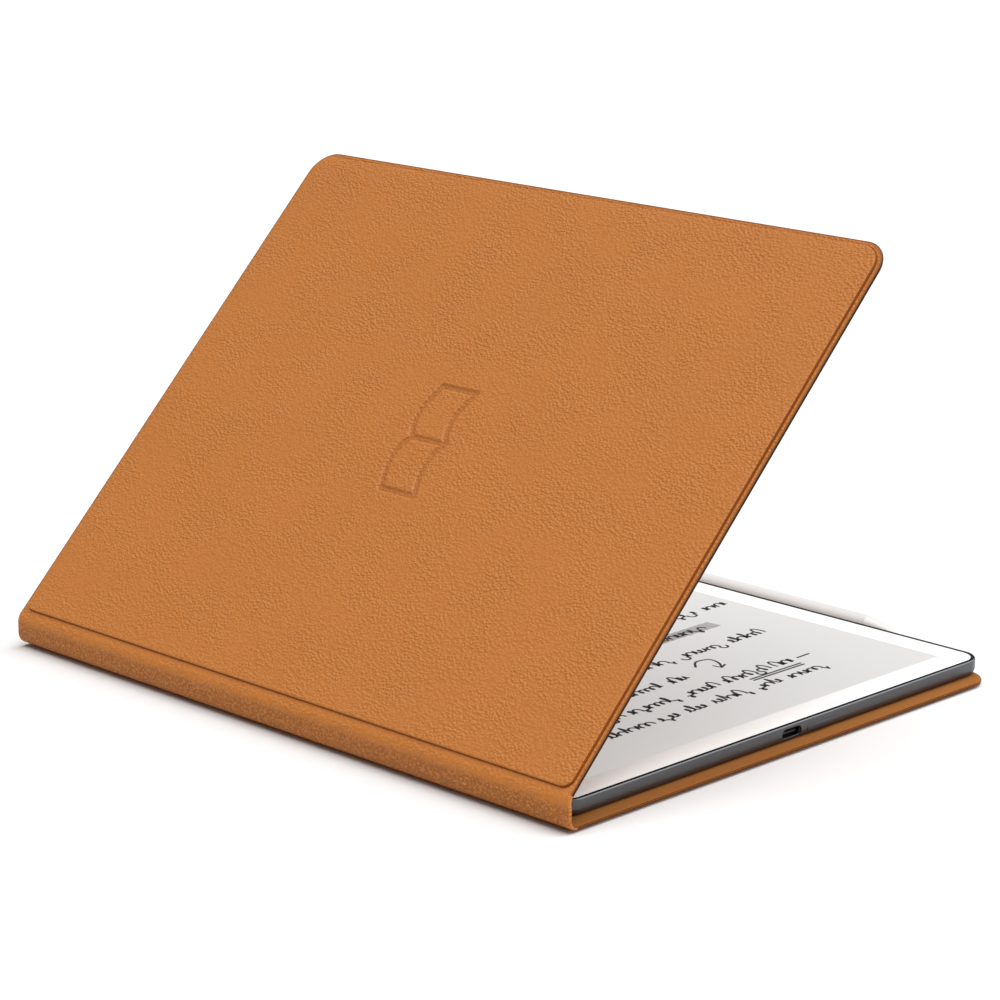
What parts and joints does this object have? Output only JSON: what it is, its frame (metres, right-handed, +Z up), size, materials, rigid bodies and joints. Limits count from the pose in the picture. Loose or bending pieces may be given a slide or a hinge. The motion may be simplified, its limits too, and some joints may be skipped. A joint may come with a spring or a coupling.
{
  "type": "e-reader in a folio cover",
  "caption": "Large e-paper reader with a slim metal case lying in an open leather book-style folio, with a stylus held along its side.",
  "frame": {"origin": "centre of the back cover's flat bottom panel, which the folio rests on", "axes": "+X from the folio's spine to its free edge, +Y along the spine away from the charging port, +Z up"},
  "size_m": [0.2097, 0.256, 0.152],
  "materials": {
    "tan_leather": "pebbled grain, semi-matt",
    "brown_lining": "fine suede microfibre",
    "cover_board": "pressed board",
    "magnet": "nickel plated",
    "graphite_case": "bead blasted and anodised",
    "front_glass": "etched anti-glare",
    "white_mask": "printed white",
    "light_guide": "clear moulded",
    "epaper": "matt grey paper-like",
    "circuit_board": "solder mask",
    "plated_steel": "tin plated",
    "frame_metal": "die cast",
    "battery_wrap": "laminate pouch",
    "flex_circuit": "polyimide",
    "foot_rubber": "matt",
    "button_metal": "anodised",
    "black_plastic": "moulded",
    "pen_white": "satin moulded",
    "nib_plastic": "matt",
    "ferrite": "sintered"
  },
  "bodies": {
    "back_cover": {"back_cover_leather": "tan_leather", "back_cover_board": "cover_board", "back_cover_lining": "brown_lining", "back_cover_magnet_1": "magnet", "back_cover_magnet_2": "magnet", "back_cover_magnet_3": "magnet", "back_cover_magnet_4": "magnet"},
    "spine": {"spine_leather": "tan_leather", "spine_stiffener": "cover_board", "spine_lining": "brown_lining"},
    "front_cover": {"front_cover_leather": "tan_leather", "front_cover_board": "cover_board", "front_cover_lining": "brown_lining", "front_cover_magnet_1": "magnet", "front_cover_magnet_2": "magnet"},
    "reader": {"rear_case": "graphite_case", "rubber_foot_1": "foot_rubber", "rubber_foot_2": "foot_rubber", "rubber_foot_3": "foot_rubber", "rubber_foot_4": "foot_rubber", "front_glass": "front_glass", "white_mask": "white_mask", "light_guide": "light_guide", "lamp_strip": "flex_circuit", "epaper_panel": "epaper", "pen_digitizer_board": "circuit_board", "mid_frame": "frame_metal", "main_board": "circuit_board", "processor_shield": "plated_steel", "radio_shield": "plated_steel", "board_screw_1": "plated_steel", "board_screw_2": "plated_steel", "board_screw_3": "plated_steel", "board_screw_4": "plated_steel", "usb_c_shell": "plated_steel", "usb_c_tongue": "black_plastic", "power_switch": "black_plastic", "display_cable": "flex_circuit", "wifi_antenna": "flex_circuit", "battery_cell_1": "battery_wrap", "battery_cell_2": "battery_wrap", "battery_board": "circuit_board", "reader_magnet_1": "magnet", "reader_magnet_2": "magnet", "reader_magnet_3": "magnet", "reader_magnet_4": "magnet", "pen_side_magnet_1": "magnet", "pen_side_magnet_2": "magnet"},
    "power_button": {"power_button": "button_metal"},
    "pen": {"pen_barrel": "pen_white", "pen_nose": "pen_white", "pen_coil": "ferrite", "pen_pressure_sensor": "black_plastic", "pen_circuit_board": "circuit_board", "pen_magnet_1": "magnet", "pen_magnet_2": "magnet"},
    "pen_side_button": {"pen_side_button": "pen_white"},
    "pen_nib": {"pen_nib": "nib_plastic"},
    "pen_eraser_cap": {"pen_eraser_cap": "pen_white"}
  },
  "joints": [
    {"name": "spine_hinge", "type": "hinge", "parent": "back_cover", "child": "spine", "pos_m": [-0.0998, 0, 0.0014], "axis": [0, -1, 0], "range_deg": [-16, 90]},
    {"name": "cover_hinge", "type": "hinge", "parent": "spine", "child": "front_cover", "pos_m": [-0.0998, 0, 0.0114], "axis": [0, -1, 0], "range_deg": [-30, 44.7]},
    {"name": "reader_slide", "type": "slide", "parent": "back_cover", "child": "reader", "axis": [1, 0, 0], "range_m": [0, 0.2]},
    {"name": "pen_slide", "type": "slide", "parent": "reader", "child": "pen", "axis": [1, 0, 0], "range_m": [0, 0.04]},
    {"name": "power_button_press", "type": "slide", "parent": "reader", "child": "power_button", "axis": [0, 1, 0], "range_m": [0, 0.00025], "stiffness_N_per_m": 4000},
    {"name": "pen_button_press", "type": "slide", "parent": "pen", "child": "pen_side_button", "axis": [-1, 0, 0], "range_m": [0, 0.0003], "stiffness_N_per_m": 3000},
    {"name": "pen_nib_press", "type": "slide", "parent": "pen", "child": "pen_nib", "axis": [0, 1, 0], "range_m": [0, 0.0003], "stiffness_N_per_m": 3000},
    {"name": "pen_eraser_press", "type": "slide", "parent": "pen", "child": "pen_eraser_cap", "axis": [0, -1, 0], "range_m": [0, 0.0004], "stiffness_N_per_m": 3000}
  ]
}
